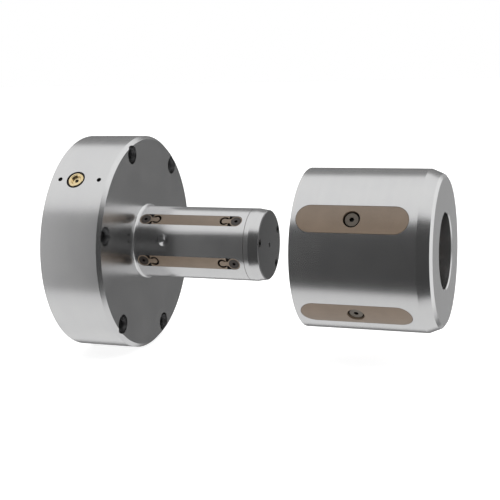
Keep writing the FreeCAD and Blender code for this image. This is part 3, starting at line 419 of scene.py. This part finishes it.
def finish_with(start, colour, roughness, height, bump, **fixed):
    """The surface shader of one finish, with its bump. Fixed values go to the named sockets."""
    normal = start.node("ShaderNodeBump", {}, {"Height": height, "Distance": bump, "Strength": 1.0})
    inputs = {"Base Color": colour, "Roughness": roughness, "Normal": normal}
    inputs.update({name.replace("_", " "): value for name, value in fixed.items()})
    surface = start.node("ShaderNodeBsdfPrincipled", inputs=inputs)
    start.node("ShaderNodeOutputMaterial", inputs={"Surface": surface})


# %% [markdown]
# Two places are darker in the photograph than a room painted by direction makes them: the nose's
# face and the flange's bolt holes. There the colour of the metal is darkened, which is painted
# shade. The face is found by its direction. The holes are all that lies a millimetre or so under
# the flange's face, chamfer and rim.

# %% The flange's holes
FLANGE_FACE, FLANGE_RADIUS, FLANGE_CHAMFER = 60.8 * MM, 103.9 * MM, 3.4 * MM
FACE_SKIN, SKIN = 0.4 * MM, 0.6 * MM


def painted_shade_in_holes(start):
    """Painted shade: 1 inside the flange's holes, and 0 on its face, its chamfer and its rim."""
    x, y, z = object_parts(start)
    radius = (y * y + z * z).root()
    under_face = (FLANGE_FACE - FACE_SKIN - x).step(0, 2 * FACE_SKIN)
    chamfer = FLANGE_FACE + FLANGE_RADIUS - FLANGE_CHAMFER
    under_chamfer = (chamfer - SKIN - x - radius).step(0, SKIN)
    return under_face * under_chamfer * (FLANGE_RADIUS - SKIN - radius).step(0, SKIN)


# %% A turned metal
RING_PITCH, BAND_PITCH, PATCH_SIZE = 0.5 * MM, 6 * MM, 25 * MM


def turned_metal(name, light, dark, roughness, ring_bump, face_shade_share=1.0, hole_shade_share=1.0):
    """A metal with rings from the lathe, and painted shade by a share on faces and in the flange's
    holes.
    """
    finish, start = new_finish(name)
    place, facing = ring_place(start)
    fine = rings(start, place, RING_PITCH)
    broad = rings(start, place, BAND_PITCH, 1.0)
    patches = cloud(start, PATCH_SIZE)
    colour = (patches * 0.75 + broad * 0.25).step(0.3, 0.7).blend(dark, light)
    # Painted shade: the faces and the flange's holes take a share of the dark colour.
    if face_shade_share < 1:
        colour = facing.blend(colour, darkened(dark, face_shade_share))
    if hole_shade_share < 1:
        colour = painted_shade_in_holes(start).blend(colour, darkened(dark, hole_shade_share))
    finish_with(start, colour, fine * 0.05 + (patches * 0.05 + (roughness - 0.05)), fine,
                ring_bump, Metallic=1.0)
    return finish


# %% Turned metals
# Painted shade: the satin metal is darker in the flange's holes, and the nose's metal on its face.
satin = turned_metal("satin_aluminium", (0.645, 0.645, 0.645, 1), (0.62, 0.62, 0.625, 1), 0.25,
                     0.003 * MM, hole_shade_share=0.85)
plain = turned_metal("plain_aluminium", (0.62, 0.62, 0.62, 1), (0.57, 0.57, 0.575, 1), 0.4,
                     0.008 * MM)
nose_metal_painted_shade = turned_metal("nose_aluminium_painted_shade", (0.645, 0.645, 0.645, 1), (0.62, 0.62, 0.625, 1), 0.25,
                          0.003 * MM, face_shade_share=0.5)
bright_steel = turned_metal("steel", (0.56, 0.56, 0.57, 1), (0.48, 0.48, 0.49, 1), 0.3, 0.004 * MM)
bronze = turned_metal("bronze", (0.60, 0.40, 0.22, 1), (0.50, 0.32, 0.17, 1), 0.34, 0.004 * MM)
brass = turned_metal("brass", (0.84, 0.685, 0.42, 1), (0.71, 0.565, 0.31, 1), 0.24, 0.003 * MM)
print("nodes in the satin finish:", len(satin.node_tree.nodes))

# %% [markdown]
# The keys and pads are aluminium with a thick brown hard coat. It is a ceramic layer, so it is
# matt, slightly mottled, and reflects more than paint does. The screws are steel with a black or
# a phosphate coat, and the springs of keys and pads are elastomer. One function makes them all,
# from fine specks on soft patches. What lies down in the narrow gaps is found by its distance
# from the axis and made darker, which is painted shade: the gaps are nearly black in the
# photograph.

# %% The gaps
MANDREL_SKIN, ABOVE_MANDREL = (33.2 * MM, 33.9 * MM), (35.2 * MM, 35.6 * MM)
SLEEVE_SKIN = (71.4 * MM, 72.0 * MM)


def outside_painted_gap_shade(start):
    """1 on the outside of the mandrel and the sleeve, and 0 below it, down in the gaps with painted
    shade.
    """
    x, y, z = object_parts(start)
    radius = (y * y + z * z).root()
    on_mandrel = radius.step(*MANDREL_SKIN) * (1 - radius.step(*ABOVE_MANDREL))
    return on_mandrel + radius.step(*SLEEVE_SKIN)


# %% A speckled finish
MOTTLE_SIZE = 14 * MM


def speckled(name, light, dark, roughness, grain, bump, gaps=1.0, **fixed):
    """A finish with a fine grain and soft patches, and painted shade by the share gaps down in the
    gaps.
    """
    finish, start = new_finish(name)
    specks = cloud(start, grain, 4.0)
    patches = cloud(start, MOTTLE_SIZE, 2.0)
    colour = (specks * 0.6 + patches * 0.4).step(0.32, 0.68).blend(dark, light)
    # Painted shade: down in the gaps the colour is a share of the dark one.
    if gaps < 1:
        colour = outside_painted_gap_shade(start).blend(darkened(dark, gaps), colour)
    finish_with(start, colour, specks * 0.14 + (roughness - 0.07), specks, bump, **fixed)
    return finish


# %% Coats, rubber and elastomer
# The gaps share of each finish sets how dark its painted shade down in the gaps is.
hard_coat = speckled("hard_coat_brown", (0.211, 0.157, 0.111, 1), (0.168, 0.124, 0.086, 1), 0.46,
                     0.4 * MM, 0.01 * MM, gaps=0.06, IOR=1.7)
pad_coat = speckled("pad_coat", (0.19, 0.14, 0.099, 1), (0.152, 0.11, 0.076, 1), 0.46, 0.4 * MM,
                    0.01 * MM, gaps=0.3, IOR=1.7)
black_oxide = speckled("black_steel", (0.044, 0.034, 0.029, 1), (0.022, 0.017, 0.014, 1), 0.4,
                       0.5 * MM, 0.008 * MM, gaps=0.2)
phosphate = speckled("phosphated_steel", (0.110, 0.094, 0.076, 1), (0.076, 0.063, 0.050, 1), 0.45,
                     0.5 * MM, 0.008 * MM, gaps=0.03, IOR=1.5)
rubber = speckled("rubber", (0.012, 0.010, 0.008, 1), (0.006, 0.005, 0.004, 1), 0.7, 0.3 * MM,
                  0.01 * MM, IOR=1.3)
elastomer = speckled("elastomer", (0.020, 0.018, 0.016, 1), (0.012, 0.011, 0.010, 1), 0.6,
                     0.3 * MM, 0.01 * MM)
FINISHES = {finish.name.removesuffix("_finish"): finish
            for finish in (satin, plain, nose_metal_painted_shade, bright_steel, bronze, brass, hard_coat,
                           pad_coat, black_oxide, phosphate, rubber, elastomer)}
print("finishes:", sorted(FINISHES))

# %% [markdown]
# The record names a material slot for each solid, and most finishes have the name of their slot.
# Three kinds of piece look different from others in their slot and get another finish: the nose
# cap, whose face has painted shade, the pads, which are a little darker than the keys, and the
# pads' screws.

# %% Give every node its finish
slot_of = {entry["node"]: entry["material_slot"] for entry in frame["record"]["subparts"]}
finish_of = dict(slot_of, nose_cap="nose_aluminium_painted_shade", pad_screws="phosphated_steel")
finish_of.update({f"pad_{number}": "pad_coat" for number in range(1, 6)})
for name, node in frame["nodes"].items():
    for holder in node.material_slots:
        holder.material = FINISHES[finish_of[name]]
print("finished nodes:", len(frame["nodes"]))

# %% [markdown]
# ## The air valve
#
# The valve in the flange's rim is a turned brass plug: a flat ring outside, a recess with a dark
# wall inside it, and the pin's hole in the recess's floor. It could be carved out of a cylinder,
# but a turned piece is a profile spun about its axis, and the profile is easier to read: pairs of
# a radius and a height, which the spin closes. The heights are distances from the chuck's axis.
# The pin sits deeper than the floor, so that its hole looks black.

# %% The valve's frame
def radial_frame(x, angle):
    """A frame at x on the axis, whose z points outwards at an angle from the camera's side."""
    outwards = Vector((0, -math.cos(angle), math.sin(angle)))
    along = Vector((1, 0, 0))
    place = Matrix((along, outwards.cross(along), outwards)).transposed().to_4x4()
    place.translation = (x, 0, 0)
    return place


valve_low, valve_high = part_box("valve_body")
valve_middle = (valve_low + valve_high) / 2
valve_place = radial_frame(valve_middle.x, math.atan2(valve_middle.z, -valve_middle.y))
print("valve at x", round(valve_middle.x / MM, 1), "mm")

# %% Turned pieces
def spin_profile(profile, place, steps=72):
    """A closed profile of radii and heights in mm, spun about the z axis of a frame."""
    shape = bmesh.new()
    points = [shape.verts.new((radius * MM, 0, height * MM)) for radius, height in profile]
    following = points[1:] + points[:1]
    lines = [shape.edges.new(pair) for pair in zip(points, following)]
    bmesh.ops.spin(shape, geom=points + lines, cent=(0, 0, 0), axis=(0, 0, 1), angle=math.tau,
                   steps=steps, use_merge=True)
    bmesh.ops.remove_doubles(shape, verts=shape.verts, dist=1e-7)
    bmesh.ops.recalc_face_normals(shape, faces=shape.faces)
    bmesh.ops.transform(shape, matrix=place, verts=shape.verts)
    return shape


def keep_piece(name, shape, finish, body):
    """Turn a finished shape into a piece that rides on a body."""
    mesh = bpy.data.meshes.new(name)
    shape.to_mesh(mesh)
    shape.free()
    mesh.shade_smooth()
    mesh.set_sharp_from_angle(angle=math.radians(28))
    mesh.materials.append(finish)
    piece = bpy.data.objects.new(name, mesh)
    bpy.context.scene.collection.objects.link(piece)
    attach(piece, body)
    print(name, len(mesh.polygons), "faces")
    return piece


# %% Valve
FACE_PROFILE = [(1.6, 91.0), (1.6, 101.0), (1.9, 101.3), (4.3, 101.3), (4.6, 101.6), (4.6, 103.2),
                (4.9, 103.5), (5.5, 103.5), (5.7, 103.8), (6.9, 103.8), (7.3, 103.4), (7.3, 101.9),
                (5.95, 101.9), (5.95, 91.0)]
PIN_PROFILE = [(0.3, 91.5), (0.3, 99.6), (0.9, 100.2), (1.5, 100.2), (1.5, 91.5)]

valve_face = spin_profile(FACE_PROFILE, valve_place)
valve_face = keep_piece("valve_face", valve_face, brass, "chuck")
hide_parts("valve_body")
valve_core = spin_profile(PIN_PROFILE, valve_place, 24)
valve_core = keep_piece("valve_core", valve_core, black_oxide, "valve_pin")
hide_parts("valve_pin")

# %% [markdown]
# The nose cap is a piece of its own, and the photograph shows the joint as a fine dark line round
# the mandrel. That line is painted shade: a black band where the joint holds only shade. A stripe
# in the finish would do from afar, but a thin band that stands a few hundredths of a millimetre
# proud stays sharp at any distance. Its profile is a radius and an offset along the chuck, and a
# turned frame lays its axis along x.

# %% Joint of the nose cap
NOSE_JOINT = 172.8
JOINT_PROFILE = [(34.2, -0.25), (34.53, -0.22), (34.53, 0.22), (34.2, 0.25)]

joint_place = Matrix(((0, 0, 1), (0, 1, 0), (-1, 0, 0))).to_4x4()
# Painted shade: a black band in the nose cap's joint.
nose_joint_painted_shade = spin_profile([(radius, NOSE_JOINT + offset) for radius, offset in JOINT_PROFILE],
                         joint_place, 120)
keep_piece("nose_joint_painted_shade", nose_joint_painted_shade, black_oxide, "chuck")

# %% [markdown]
# ## The sleeve's front edge
#
# The edge between the sleeve's taper and its face is rounded enough to catch the light as a thin
# bright line. The CAD sleeve has a small flat there, so a merged copy of it has that flat made
# wider, by sliding its two circles apart along the taper and the face.

# %% Wider front edge
OLD_EDGE, FRONT_EDGE = 0.8 * MM, 2.2 * MM
TAPER_START_RADIUS, TAPER_END_RADIUS, TAPER_LENGTH = 73.85, 68.5, 12.75
NEAR_ENOUGH = 0.02 * MM

sleeve = bmesh.new()
sleeve.from_mesh(frame["nodes"]["sleeve_body"].data)
bmesh.ops.remove_doubles(sleeve, verts=sleeve.verts, dist=1e-6)
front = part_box("sleeve_body")[1].x
slope = (TAPER_START_RADIUS - TAPER_END_RADIUS) / TAPER_LENGTH
back_by = FRONT_EDGE - OLD_EDGE
moved = 0
for vert in sleeve.verts:
    radius = math.hypot(vert.co.y, vert.co.z)
    on_taper = abs(vert.co.x - (front - OLD_EDGE)) < NEAR_ENOUGH and radius > 68 * MM
    on_face = abs(vert.co.x - front) < NEAR_ENOUGH and radius > 67 * MM
    if on_taper or on_face:
        new_radius = radius + slope * back_by if on_taper else radius - back_by
        vert.co.y *= new_radius / radius
        vert.co.z *= new_radius / radius
        vert.co.x -= back_by if on_taper else 0
        moved += 1
print("moved", moved, "points of the sleeve's front edge")

# %% [markdown]
# A merged mesh loses the exact normals of the CAD, and averaged ones smear the long triangles
# beside the pads. On a turned surface the exact normal is known: it points away from the axis,
# tilted as the face is. Faces that aren't turned, such as the sides of the pad pockets, stay flat.

# %% Exact normals
STRAIGHT_OUT = 0.985


def exact_normals(mesh):
    """Give a turned mesh the normals of the round surfaces that its flat triangles stand for."""
    normals = [Vector((0, 0, 1))] * len(mesh.loops)
    for face in mesh.polygons:
        centre, flat = face.center, face.normal
        outwards = Vector((0, centre.y, centre.z)).normalized()
        across = Vector((0, flat.y, flat.z))
        lean = outwards.dot(across)
        turned = abs(lean) > STRAIGHT_OUT * across.length
        for loop in face.loop_indices:
            point = mesh.vertices[mesh.loops[loop].vertex_index].co
            away = Vector((0, point.y, point.z)).normalized()
            exact = (Vector((flat.x, 0, 0)) + away * lean).normalized()
            normals[loop] = exact if turned else flat.copy()
    mesh.normals_split_custom_set(normals)


sleeve_shell = keep_piece("sleeve_shell", sleeve, satin, "sleeve")
exact_normals(sleeve_shell.data)
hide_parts("sleeve_body")

# %% [markdown]
# ## The springs
#
# The piston, the keys and the pads all push against springs inside. A spring stays where it is
# held and shortens by the travel of what pushes it. It could be bent by a simulation, but these
# are hidden or small, and each copy here keeps its shape. The record names these springs with
# their joints, so one loop makes a copy of each, which rides on the joint's parent body.

# %% Springs
for joint in frame["record"]["behaviour"]["joints"]:
    for entry in joint.get("deforming_nodes", []):
        node = entry["node"]
        spring = bmesh.new()
        spring.from_mesh(frame["nodes"][node].data)
        bmesh.ops.remove_doubles(spring, verts=spring.verts, dist=1e-6)
        slot = slot_of[node]
        piece = keep_piece(f"{node}_live", spring, FINISHES[slot], joint["parent"])
        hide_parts(node)
        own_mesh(piece)

# %% [markdown]
# ## The end
#
# Last, the colours are shown as rendered, with the Standard view transform.

# %% View transform
bpy.context.scene.view_settings.view_transform = "Standard"
